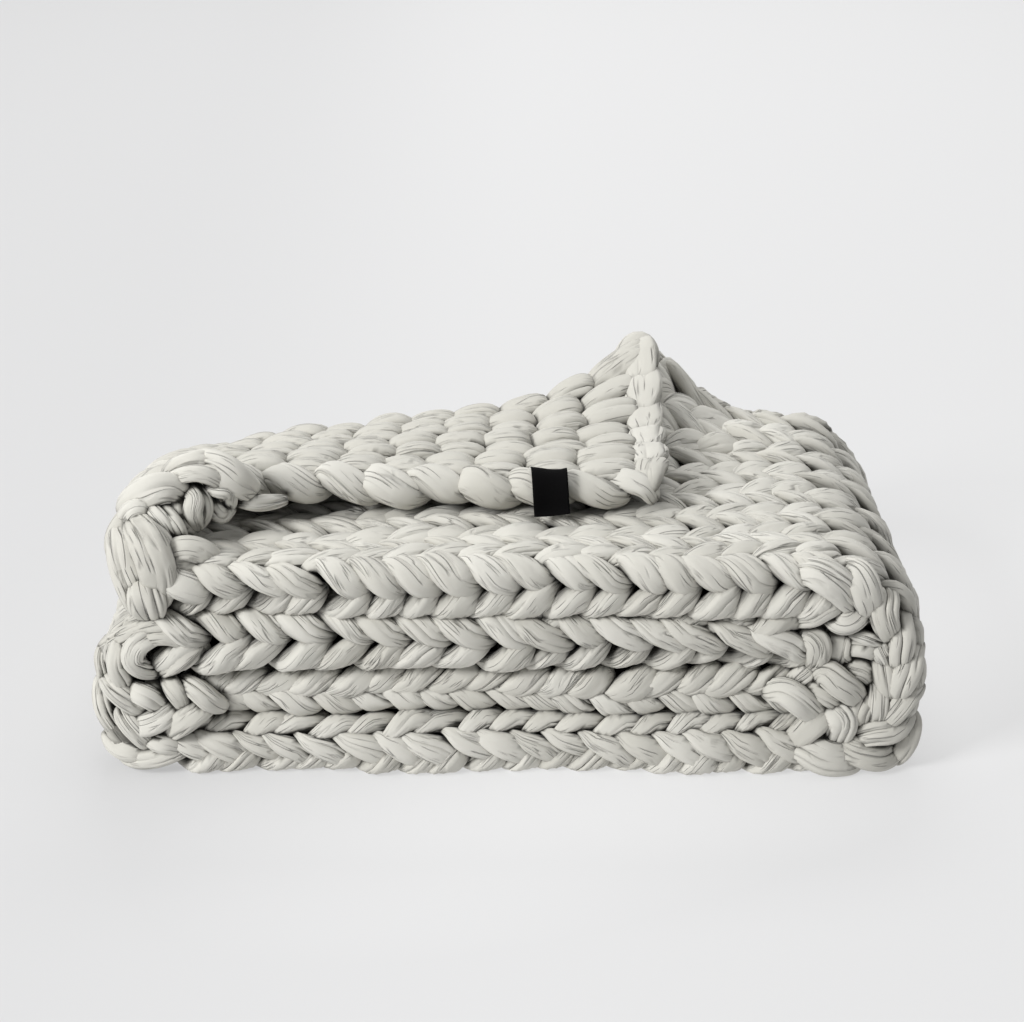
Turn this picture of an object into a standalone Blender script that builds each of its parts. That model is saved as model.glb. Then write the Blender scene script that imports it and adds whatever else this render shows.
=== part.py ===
"""A hand-knitted weighted blanket, folded back and forth into a low stack.

It is one long strip of thick stockinette, V side out. From its cast-on end in the heart of the
stack it runs to the right, folds over, and goes round the stack once: along the second layer,
down the left, along the bottom and up the right to the top layer. There the last of it turns
back over the stack as a flap, set back from the front edge, with its far corner propped on a
hump of the layer below. A small woven tab is sewn into the flap's front edge.
Metres, +Z up, +Y to the back. The origin is on the underside, below the middle of the blanket.
"""

from collections import namedtuple
from math import ceil, copysign, cos, exp, pi, sin

import bmesh
import bpy
from mathutils import Vector

PLY = 0.038  # thickness of the knitted cloth
FLAP_PLY = 0.030  # the flap lies open, so it is thinner
DEPTH = 0.310  # front edge to back edge of the folded stack
STACK_TOP = 0.158  # height of the four layers, without the flap
FLAP_LEVEL = 0.175  # middle of the flap's thickness, where it lies flat
FLAP_FRONT = 0.088  # how far the flap's front edge is set back

# The cloth's route as a side view, from the cast-on end to the cast-off end: a row for each place
# where its direction or its width changes. level is the height of the middle of the cloth, and
# corner is the radius of the two quarter turns that fold it over to the next row's level.
# The cloth thins over the last few millimetres at each end.
Section = namedtuple("Section", "x level front back ply corner")
ROUTE = (
    Section(-0.232, 0.059, 0.014, 0.286, 0.60 * PLY, 0),
    Section(-0.228, 0.059, 0.012, 0.288, 0.85 * PLY, 0),
    Section(-0.219, 0.059, 0.012, 0.290, PLY, 0),
    Section(0.199, 0.059, 0.010, 0.300, PLY, 0.020),
    Section(0.199, 0.099, 0.004, 0.304, PLY, 0),
    Section(-0.240, 0.099, 0.000, 0.300, PLY, 0.024),
    Section(-0.240, 0.019, 0.000, 0.296, PLY, 0),
    Section(0.000, 0.019, 0.000, DEPTH, PLY, 0),
    Section(0.221, 0.019, 0.000, DEPTH, PLY, 0.045),
    Section(0.221, 0.139, 0.000, DEPTH, PLY, 0),
    Section(0.000, 0.139, 0.000, DEPTH, PLY, 0),
    Section(-0.232, 0.139, 0.000, 0.290, 0.92 * PLY, 0.0200),
    Section(-0.232, 0.179, 0.056, 0.276, FLAP_PLY, 0),
    Section(-0.190, 0.181, 0.080, 0.260, FLAP_PLY, 0),
    Section(-0.100, 0.176, FLAP_FRONT, 0.252, FLAP_PLY, 0),
    Section(0.000, FLAP_LEVEL, FLAP_FRONT, 0.258, FLAP_PLY, 0),
    Section(0.068, FLAP_LEVEL, FLAP_FRONT, 0.285, FLAP_PLY, 0),
    Section(0.089, FLAP_LEVEL, FLAP_FRONT, 0.296, FLAP_PLY, 0),
    Section(0.099, FLAP_LEVEL, FLAP_FRONT, 0.301, 0.85 * FLAP_PLY, 0),
    Section(0.103, FLAP_LEVEL, 0.090, 0.303, 0.60 * FLAP_PLY, 0),
)
STEP = 0.034  # longest straight stretch between two sections of the mesh
TURN_STEPS = 6  # sections in each quarter turn

# The cloth thins towards its long edges too: how far in from an edge, and the share of its
# thickness that it has there.
Edge = namedtuple("Edge", "inset share")
EDGES = (Edge(0, 0.60), Edge(0.004, 0.85), Edge(0.013, 1))
MIDDLE_ROWS = 6  # rows of the mesh between those of the two edges

# A hump at the back right and a slump at the back left move the top of the stack up and down,
# and what lies below it in proportion, so the underside stays flat.
HUMP_HEIGHT, HUMP_X, HUMP_SPREAD, HUMP_FROM_Y, HUMP_TO_Y = 0.042, 0.118, 0.028, 0.190, DEPTH
SLUMP_DEPTH, SLUMP_FROM_X, SLUMP_TO_X, SLUMP_FROM_Y, SLUMP_TO_Y = 0.074, 0.100, -0.250, 0.080, DEPTH
# The right end narrows towards the back, and the front edges wander a little.
PULL_IN, PULL_FROM_X, PULL_TO_X = 0.010, 0.100, 0.280
WANDER, WANDER_LENGTH, WANDER_RISE = 0.003, 0.210, 0.120

# The tab, from over the flap's edge to its free end, as a side view: y from the flap's front edge
# and z from the middle of the flap.
TAB_X, TAB_WIDTH, TAB_THICKNESS = 0.027, 0.025, 0.0012
TAB_DRAPE = ((0.0034, 0.0135), (-0.0010, 0.0098), (-0.0012, -0.0050), (-0.0060, -0.0115), (-0.0130, -0.0152))

STONE = (0.655, 0.640, 0.590)  # pale warm grey yarn
BLACK = (0.012, 0.012, 0.013)  # woven tape


def between(a, b, share):
    return a + (b - a) * share


def ease(value, start, end):
    """0 at start to 1 at end, with soft ends."""
    share = min(max((value - start) / (end - start), 0), 1)
    return share * share * (3 - 2 * share)


def section_between(a, b, share, x, level):
    return Section(
        x, level, between(a.front, b.front, share), between(a.back, b.back, share), between(a.ply, b.ply, share), 0
    )


def straight(a, b):
    """Sections from a towards b: a is the first, and b is left to the next stretch."""
    steps = ceil(abs(b.x - a.x) / STEP)
    shares = (i / steps for i in range(steps))
    return [section_between(a, b, s, between(a.x, b.x, s), between(a.level, b.level, s)) for s in shares]


def fold(a, b, side):
    """Sections of two quarter turns and the upright stretch between them, from a up or down to b."""
    rise = b.level - a.level
    upright = rise - copysign(2 * a.corner, rise)
    sections = []
    for lift_by, first_step in ((0, 0), (upright, TURN_STEPS)):
        for i in range(first_step, first_step + TURN_STEPS + 1):
            angle = pi / 2 * i / TURN_STEPS
            x = a.x + side * a.corner * sin(angle)
            level = a.level + lift_by + copysign(a.corner * (1 - cos(angle)), rise)
            if not sections or abs(sections[-1].level - level) + abs(sections[-1].x - x) > 1e-6:
                sections.append(section_between(a, b, angle / pi, x, level))
    return sections[:-1]


def route_sections():
    sections = []
    side = 1
    for a, b in zip(ROUTE, ROUTE[1:]):
        if a.corner:
            sections += fold(a, b, side)
            side = -side
        else:
            sections += straight(a, b)
    return sections + [ROUTE[-1]]


def across(section):
    """(y, share of the thickness) of each row of the mesh at this section, front to back."""
    first, last = section.front + EDGES[-1].inset, section.back - EDGES[-1].inset
    rows = [(section.front + edge.inset, edge.share) for edge in EDGES]
    rows += [(between(first, last, i / (MIDDLE_ROWS + 1)), 1) for i in range(1, MIDDLE_ROWS + 1)]
    return rows + [(section.back - edge.inset, edge.share) for edge in reversed(EDGES)]


def settle(point):
    """Where a point of the straight-edged, level stack lies once the cloth has settled."""
    x, y, z = point
    hump = HUMP_HEIGHT * exp(-(((x - HUMP_X) / HUMP_SPREAD) ** 2) / 2) * ease(y, HUMP_FROM_Y, HUMP_TO_Y)
    leftward = min(max((x - SLUMP_FROM_X) / (SLUMP_TO_X - SLUMP_FROM_X), 0), 1)
    slump = SLUMP_DEPTH * leftward**2 * ease(y, SLUMP_FROM_Y, SLUMP_TO_Y)
    raised = (hump - slump) * min(z / STACK_TOP, 1)
    pulled = PULL_IN * ease(x, PULL_FROM_X, PULL_TO_X) * y / DEPTH
    wander = WANDER * sin(2 * pi * (x / WANDER_LENGTH + z / WANDER_RISE)) * (1 - y / DEPTH)
    return Vector((x - pulled, y + wander, z + raised))


def finish(colour, name, roughness):
    material = bpy.data.materials.new(name)
    material.use_nodes = True
    shader = material.node_tree.nodes["Principled BSDF"]
    shader.inputs["Base Color"].default_value = (*colour, 1)
    shader.inputs["Roughness"].default_value = roughness
    shader.inputs["Metallic"].default_value = 0
    return material


def thick_sheet(name, grid, thickness, material):
    """A settled solid from a grid of (point, share of the thickness): rows of equal length, edge to edge."""
    made = bmesh.new()
    vertices = [[made.verts.new(point) for point, _ in row] for row in grid]
    for row, following in zip(vertices, vertices[1:]):
        for a, b, c, d in zip(row, row[1:], following[1:], following):
            made.faces.new((a, b, c, d))
    mesh = bpy.data.meshes.new(name + "_middle")
    made.to_mesh(mesh)
    made.free()
    middle = bpy.data.objects.new(name + "_middle", mesh)
    bpy.context.scene.collection.objects.link(middle)
    shares = middle.vertex_groups.new(name="thickness")
    for index, share in enumerate(share for row in grid for _, share in row):
        shares.add([index], share, "REPLACE")
    solidify = middle.modifiers.new("thickness", "SOLIDIFY")
    solidify.thickness = thickness
    solidify.offset = 0
    solidify.use_even_offset = True
    solidify.vertex_group = shares.name

    evaluated = middle.evaluated_get(bpy.context.evaluated_depsgraph_get())
    solid = bpy.data.meshes.new_from_object(evaluated)
    for vertex in solid.vertices:
        vertex.co = settle(vertex.co)
    bpy.data.objects.remove(middle)
    solid.name = name
    solid.materials.append(material)
    return bpy.data.objects.new(name, solid)


def knitted_cloth():
    grid = [
        [(Vector((s.x, y, s.level)), share * s.ply / PLY) for y, share in across(s)] for s in route_sections()
    ]
    return thick_sheet("blanket", grid, PLY, finish(STONE, "stone_yarn", 0.9))


def woven_tab():
    """A short tape folded over the flap's front edge, hanging down to the layer below."""
    sides = (TAB_X - TAB_WIDTH / 2, TAB_X, TAB_X + TAB_WIDTH / 2)
    grid = [[(Vector((x, FLAP_FRONT + y, FLAP_LEVEL + z)), 1) for x in sides] for y, z in TAB_DRAPE]
    return thick_sheet("label", grid, TAB_THICKNESS, finish(BLACK, "black_tape", 0.7))


def centre_on_origin(objects):
    """Moves everything so that the origin is below the middle of its box, on the underside."""
    points = [vertex.co for part in objects for vertex in part.data.vertices]
    middle = [(min(p[i] for p in points) + max(p[i] for p in points)) / 2 for i in range(2)]
    offset = Vector((middle[0], middle[1], min(p.z for p in points)))
    for part in objects:
        for vertex in part.data.vertices:
            vertex.co -= offset


for leftover in list(bpy.data.objects):
    bpy.data.objects.remove(leftover)
blanket = bpy.data.collections.new("folded_blanket")
bpy.context.scene.collection.children.link(blanket)
parts = [knitted_cloth(), woven_tab()]
centre_on_origin(parts)
for part in parts:
    blanket.objects.link(part)
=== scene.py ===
"""A chunky hand-knitted weighted blanket, folded back and forth into a low stack.

The cloth is stockinette in a thick, soft tube yarn. Its stitches are laid one by one along the
folded cloth's route, each leg of each stitch as a plump length of yarn of its own. The flap, the
cast-off edge, the yarn at the two ends and the small woven tab follow.
"""

from collections import namedtuple
from math import ceil, copysign, cos, pi, radians, sin

import bpy
import numpy as np
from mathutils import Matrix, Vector


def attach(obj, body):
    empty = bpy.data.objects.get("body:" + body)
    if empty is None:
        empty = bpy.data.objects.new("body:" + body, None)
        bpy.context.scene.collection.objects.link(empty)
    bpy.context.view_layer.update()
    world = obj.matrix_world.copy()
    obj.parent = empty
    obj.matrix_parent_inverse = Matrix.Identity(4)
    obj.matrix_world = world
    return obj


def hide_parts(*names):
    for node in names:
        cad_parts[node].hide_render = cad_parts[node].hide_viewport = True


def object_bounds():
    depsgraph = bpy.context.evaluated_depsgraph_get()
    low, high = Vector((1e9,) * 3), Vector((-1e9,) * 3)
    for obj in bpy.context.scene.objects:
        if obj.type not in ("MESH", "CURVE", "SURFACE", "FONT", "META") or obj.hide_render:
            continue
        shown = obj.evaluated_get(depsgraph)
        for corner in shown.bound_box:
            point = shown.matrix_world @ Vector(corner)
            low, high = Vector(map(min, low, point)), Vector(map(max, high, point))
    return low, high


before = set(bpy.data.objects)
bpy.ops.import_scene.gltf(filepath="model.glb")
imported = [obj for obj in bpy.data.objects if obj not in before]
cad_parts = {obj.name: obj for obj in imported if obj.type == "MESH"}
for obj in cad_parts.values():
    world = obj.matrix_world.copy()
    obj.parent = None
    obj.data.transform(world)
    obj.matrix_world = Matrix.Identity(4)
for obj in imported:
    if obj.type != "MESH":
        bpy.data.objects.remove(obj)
cad_low, cad_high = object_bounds()

# Camera. It stands in front of the stack and looks down on it a little, with a long lens.
camera_pitch = 23  # degrees below level
camera_back, camera_height = 1.486, 0.832  # behind the stack's front, and over the floor
camera_data = bpy.data.cameras.new("camera")
camera_data.lens = 86.13
camera_data.sensor_width = 36
camera = bpy.data.objects.new("camera", camera_data)
camera.location = (0, cad_low.y - camera_back, camera_height)
camera.rotation_euler = (radians(90 - camera_pitch), 0, 0)
bpy.context.scene.collection.objects.link(camera)
bpy.context.scene.camera = camera
bpy.context.scene.view_settings.view_transform = "Standard"

# Light and floor. A white studio: even light from all round, a broad soft lamp above and in front
# on the left, and a pale floor that runs up into a pale backdrop.
world = bpy.data.worlds.new("studio")
bpy.context.scene.world = world
world.use_nodes = True
world.node_tree.nodes["Background"].inputs["Color"].default_value = (0.97, 0.98, 1.0, 1)
world.node_tree.nodes["Background"].inputs["Strength"].default_value = 0.28


def soft_lamp(name, place, target, size, watts):
    data = bpy.data.lights.new(name, "AREA")
    data.shape = "RECTANGLE"
    data.size, data.size_y = size
    data.energy = watts
    lamp = bpy.data.objects.new(name, data)
    lamp.location = place
    lamp.rotation_euler = (Vector(target) - Vector(place)).to_track_quat("-Z", "Y").to_euler()
    bpy.context.scene.collection.objects.link(lamp)


soft_lamp("key_lamp", (-2.7, -2.1, 2.2), (0, 0, 0.05), (1.3, 1.3), 138)
soft_lamp("top_lamp", (0.2, 0.2, 2.6), (0, 0, 0.05), (2.0, 1.6), 23)
soft_lamp("backdrop_lamp", (0.0, 2.4, 2.6), (0, 2.6, 0.0), (1.8, 1.4), 46)


def new_material(name):
    """A material, a function that adds a node to it, and one that sets its surface. Inputs are
    values or other nodes' outputs, under their names or numbers."""
    material = bpy.data.materials.new(name)
    material.use_nodes = True
    nodes, links = material.node_tree.nodes, material.node_tree.links

    def set_inputs(node, inputs):
        for key, value in inputs.items():
            if isinstance(value, bpy.types.NodeSocket):
                links.new(value, node.inputs[key])
            else:
                node.inputs[key].default_value = value

    def add_node(kind, inputs=None, **settings):
        node = nodes.new("ShaderNode" + kind)
        for setting, value in settings.items():
            setattr(node, setting, value)
        set_inputs(node, inputs or {})
        return node

    def set_surface(inputs):
        set_inputs(nodes["Principled BSDF"], inputs)

    return material, add_node, set_surface


def add_object(name, mesh):
    """The mesh as an object of the scene."""
    made = bpy.data.objects.new(name, mesh)
    bpy.context.scene.collection.objects.link(made)
    return made


PAPER_GLOW, LEFT_GLOW = 0.485, 0.415  # painted light: the paper's own glow, and what is left of it at the far left
LEFT_END, LEFT_START = -0.42, 0.06  # the glow falls off between these places along x
POOL_GLOW = 0.15  # a painted pool of light: more glow in the middle of a long pool that crosses under the stack
POOL = {"Location": (0.17, 0, 0), "Rotation": (0, 0, 0.73), "Scale": (0.52, 0.23, 1)}


def studio_paper():
    """White paper with painted light: a faint glow of its own, so that shadows on it stay faint, dimmer at
    the far left and with a painted pool of light under the stack.
    """
    material, add_node, set_surface = new_material("studio_paper")
    place = add_node("NewGeometry").outputs["Position"]
    x = add_node("SeparateXYZ", {"Vector": place}).outputs["X"]
    fading = {"From Min": LEFT_END, "From Max": LEFT_START, "To Min": LEFT_GLOW, "To Max": PAPER_GLOW}
    painted_glow = add_node("MapRange", {"Value": x, **fading}, interpolation_type="SMOOTHSTEP").outputs["Result"]
    in_pool = add_node("Mapping", {"Vector": place, **POOL}, vector_type="TEXTURE").outputs["Vector"]
    pool = add_node("TexGradient", {"Vector": in_pool}, gradient_type="SPHERICAL").outputs["Fac"]
    glow = add_node("Math", {0: pool, 1: POOL_GLOW, 2: painted_glow}, operation="MULTIPLY_ADD").outputs["Value"]
    set_surface({"Base Color": (0.26, 0.26, 0.262, 1), "Roughness": 0.95})
    set_surface({"Emission Color": (1, 1, 1, 1), "Emission Strength": glow})
    return material


def sweep_backdrop():
    """The floor, and at the back a round sweep up into the backdrop."""
    half, front, back, bend, top = 6.0, -4.0, 3.0, 1.2, 4.0
    steps = 12
    profile = [(front, 0.0), (back, 0.0)]
    for step in range(1, steps + 1):
        angle = pi / 2 * step / steps
        profile.append((back + bend * sin(angle), bend * (1 - cos(angle))))
    profile.append((back + bend, top))
    vertices = [(x, y, z) for y, z in profile for x in (-half, half)]
    faces = [(2 * i, 2 * i + 1, 2 * i + 3, 2 * i + 2) for i in range(len(profile) - 1)]
    mesh = bpy.data.meshes.new("floor")
    mesh.from_pydata(vertices, [], faces)
    mesh.shade_smooth()
    mesh.materials.append(studio_paper())
    floor = add_object("floor", mesh)


sweep_backdrop()

# The cloth's route. The blanket is one strip that winds round itself: from the cast-on end in the
# heart of the stack to the right, over and back to the left, down and along the bottom, up and
# over the top, and then back over the stack as the flap.
PLY = 0.038  # thickness of the knitted cloth
DEPTH = 0.310  # of the stack, front to back
STACK_TOP = 0.158  # height of its four layers
MIDDLE = Vector((0.0008, 0.1535, 0.0))  # the frame's origin; the route's y runs back from the front

# Each row is a place along the route. corner is the radius of the turns up or down to the next row's
# level, and 0 where the cloth runs straight on.
Section = namedtuple("Section", "x level front back ply corner")
ROUTE = (
    Section(-0.232, 0.059, 0.014, 0.286, PLY, 0),
    Section(0.199, 0.059, 0.010, 0.300, PLY, 0.020),
    Section(0.199, 0.099, 0.004, 0.304, PLY, 0),
    Section(-0.240, 0.099, 0.000, 0.300, PLY, 0.024),
    Section(-0.240, 0.019, 0.000, 0.296, PLY, 0),
    Section(0.000, 0.019, 0.000, DEPTH, PLY, 0),
    Section(0.221, 0.019, 0.000, DEPTH, PLY, 0.045),
    Section(0.221, 0.139, 0.000, DEPTH, PLY, 0),
    Section(0.000, 0.139, 0.000, DEPTH, PLY, 0),
    Section(-0.232, 0.139, 0.000, 0.290, 0.92 * PLY, 0.020),
    Section(-0.232, 0.179, 0.056, 0.276, 0.030, 0),
    Section(-0.190, 0.181, 0.080, 0.260, 0.026, 0),
    Section(-0.100, 0.174, 0.088, 0.252, 0.026, 0),
    Section(0.000, 0.172, 0.088, 0.258, 0.026, 0),
    Section(0.068, 0.172, 0.088, 0.285, 0.026, 0),
    Section(0.108, 0.172, 0.090, 0.303, 0.026, 0),
)


def dense_route(spacing=0.002, softening=0.008, rounding=0.003):
    """Arrays along the route: distance, x, z, heading x, heading z, front, back, ply, and the row
    of ROUTE that each point comes after. Turns are rounded, and the other columns softened."""
    points = []
    side = 1
    for number, (a, b) in enumerate(zip(ROUTE, ROUTE[1:])):
        if not a.corner:
            for share in np.arange(0, 1, spacing / abs(b.x - a.x)):
                points.append([p + (q - p) * share for p, q in zip(a[:5], b[:5])] + [number])
            continue
        rise = b.level - a.level
        turn = a.corner * pi / 2
        upright = abs(rise) - 2 * a.corner
        whole = 2 * turn + upright
        for along in np.arange(0, whole, spacing):
            angle = min(along, turn) / a.corner + max(along - turn - upright, 0) / a.corner
            lift = min(max(along - turn, 0), upright)
            x = a.x + side * a.corner * sin(angle)
            level = a.level + copysign(a.corner * (1 - cos(angle)) + lift, rise)
            share = along / whole
            rest = [p + (q - p) * share for p, q in zip(a[2:5], b[2:5])]
            points.append([x, level] + rest + [number])
        side = -side
    points = np.array(points)
    step = np.hypot(*np.diff(points[:, :2], axis=0).T)
    distance = np.concatenate([[0], np.cumsum(step)])
    even = np.arange(0, distance[-1], spacing)
    x, z, front, back, ply, number = (np.interp(even, distance, column) for column in points.T)

    def soften(values, length):
        reach = int(3 * length / spacing)
        weights = np.exp(-0.5 * (np.arange(-reach, reach + 1) * spacing / length) ** 2)
        padded = np.pad(values, reach, mode="reflect", reflect_type="odd")
        return np.convolve(padded, weights / weights.sum(), mode="valid")

    x, z = soften(x, rounding), soften(z, rounding)
    front, back, ply = (soften(values, softening) for values in (front, back, ply))
    across, up = np.gradient(x), np.gradient(z)
    length = np.hypot(across, up)
    return np.array([even, x, z, across / length, up / length, front, back, ply, number])


ALONG = dense_route()
ROUTE_LENGTH = ALONG[0, -1]


def distance_at(row):
    """The distance along the route at which a row of ROUTE starts."""
    return float(ALONG[0, np.searchsorted(ALONG[8], row - 0.5)])


YARN_DEPTH = 0.0095  # from the cloth's long edges to the middle of its yarn
YARN_RISE = 0.0060  # from the cloth's two sides to the middle of the yarn that goes round its edges
EDGE_TURN = 0.008  # radius of the yarn's way round a long edge
WALES = 8  # columns of stitches from the middle of the front edge to the middle of the back edge


def on_cloth(distance, wale, lift=0.0):
    """Points of the stack before it settles, and the cloth's outward direction at each of them.

    wale 0 is the middle of the front edge and WALES the middle of the back edge. Wales between
    them are on the cloth's right side, and negative ones count back along its wrong side. lift is
    the height above the middle of the yarn that lies on the cloth there."""
    distance, wale, lift = np.broadcast_arrays(*np.atleast_1d(distance, wale, lift))
    x, z, hx, hz, front, back, ply = (np.interp(distance, ALONG[0], row) for row in ALONG[1:8])
    half = ply / 2 - YARN_RISE
    turn = np.minimum(EDGE_TURN, half)
    flat_edge = half - turn
    quarter = turn * pi / 2
    inner = back - front - 2 * YARN_DEPTH - 2 * turn
    breadth = inner + 2 * quarter + 2 * flat_edge
    along = np.abs(wale) / WALES * breadth
    at_back = along > breadth / 2
    along = np.where(at_back, breadth - along, along)
    upright = np.abs(along)
    angle = np.clip((upright - flat_edge) / turn, 0, pi / 2)
    inward = turn * (1 - np.cos(angle)) + np.maximum(upright - flat_edge - quarter, 0)
    inset = YARN_DEPTH + inward
    facing = np.where(wale < 0, -1.0, 1.0) * np.where(along < 0, -1, 1)
    normal_y = np.cos(angle) * np.where(at_back, 1, -1)
    normal_h = np.sin(angle) * facing
    y = np.where(at_back, back - inset, front + inset) + normal_y * lift
    height = np.minimum(upright, flat_edge) + turn * np.sin(angle)
    h = height * facing + normal_h * lift
    point = np.stack([x + h * hz, y, z - h * hx], -1)
    outward = np.stack([normal_h * hz, normal_y, -normal_h * hx], -1)
    return point, outward


def ease(value, start, end):
    """0 at start to 1 at end, with soft ends."""
    share = np.clip((value - start) / (end - start), 0, 1)
    return share * share * (3 - 2 * share)


HUMP_HEIGHT, HUMP_X, HUMP_WIDTH = 0.050, 0.1125, 0.0272
SLUMP_DEPTH, SLUMP_FROM, SLUMP_TO = 0.074, 0.100, -0.250
LEAST_HEIGHT = 0.003  # what would lie lower is pressed flat against the ground


def settle(points):
    """Where points of the straight-edged, level stack lie once the cloth has settled: a hump at the
    back right with the flap propped up on it, a slump at the back left, and edges that wander."""
    x, y, z = points.T
    hump = HUMP_HEIGHT * np.exp(-(((x - HUMP_X) / HUMP_WIDTH) ** 2) / 2) * ease(y, 0.190, DEPTH)
    leftward = np.clip((x - SLUMP_FROM) / (SLUMP_TO - SLUMP_FROM), 0, 1)
    slump = SLUMP_DEPTH * leftward**2 * ease(y, 0.080, DEPTH)
    raised = (hump - slump) * np.clip(z / STACK_TOP, 0, 1)
    propped = 0.012 * ease(x, 0.000, 0.055) - 0.011 * ease(x, 0.055, 0.105)
    propped = propped * ease(y, 0.180, 0.290) + 0.004 * ease(y, 0.120, 0.260)
    raised = raised + propped * ease(z, 0.158, 0.170)
    pulled = 0.010 * ease(x, 0.100, 0.280) * y / DEPTH
    wander = 0.003 * np.sin(2 * pi * (x / 0.210 + z / 0.120)) * (1 - y / DEPTH)
    height = z + raised
    pressed = LEAST_HEIGHT * np.exp(np.minimum(height, LEAST_HEIGHT) / LEAST_HEIGHT - 1)
    height = np.where(height < LEAST_HEIGHT, pressed, height)
    return np.stack([x - pulled, y + wander, height], -1) - np.array(MIDDLE)


# Yarn. Every stitch is made of plump lengths of yarn, each a closed tube of rings with creases along
# its outer side. A length swells and thins along its way, and a small draw makes each one different.
# Where yarn lies low among other yarn, in a crease or at its ends, its colour carries painted shade.
SQUARENESS = 3.1  # 2 is a round section; more is fuller at its corners
TUCK_SHADE_FROM, TUCK_SHADE_TO = 0.0066, -0.0040  # heights over which the yarn gets painted shade where it lies low among other yarn
END_SHARE, END_SHADE = 0.15, 0.8  # how much of either end goes in under other yarn, and how much painted shade it gets
CREASED_FROM, CREASED_TO = radians(-38), radians(218)  # the angles between which creases run
SHOULDER = radians(3.4)  # from the bottom of a crease to the yarn beside it
SHOULDER_DEPTH = 0.12  # the crease's depth there, as a share of its full depth
CREASE_SHADE = 3.5  # how much painted shade a crease gets for its depth
RIPPLES = (0.024, 0.016, 0.012)  # heights of the uneven swells, as shares of the yarn's size
LAID = []  # each piece of yarn with its points and the middle of the yarn at each of them


def tube_faces(grid):
    """The faces between rings of points, from a grid of the points' numbers."""
    a, b = grid[:-1], grid[1:]
    return np.stack([a, b, np.roll(b, -1, 1), np.roll(a, -1, 1)], -1).reshape(-1, 4)


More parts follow.
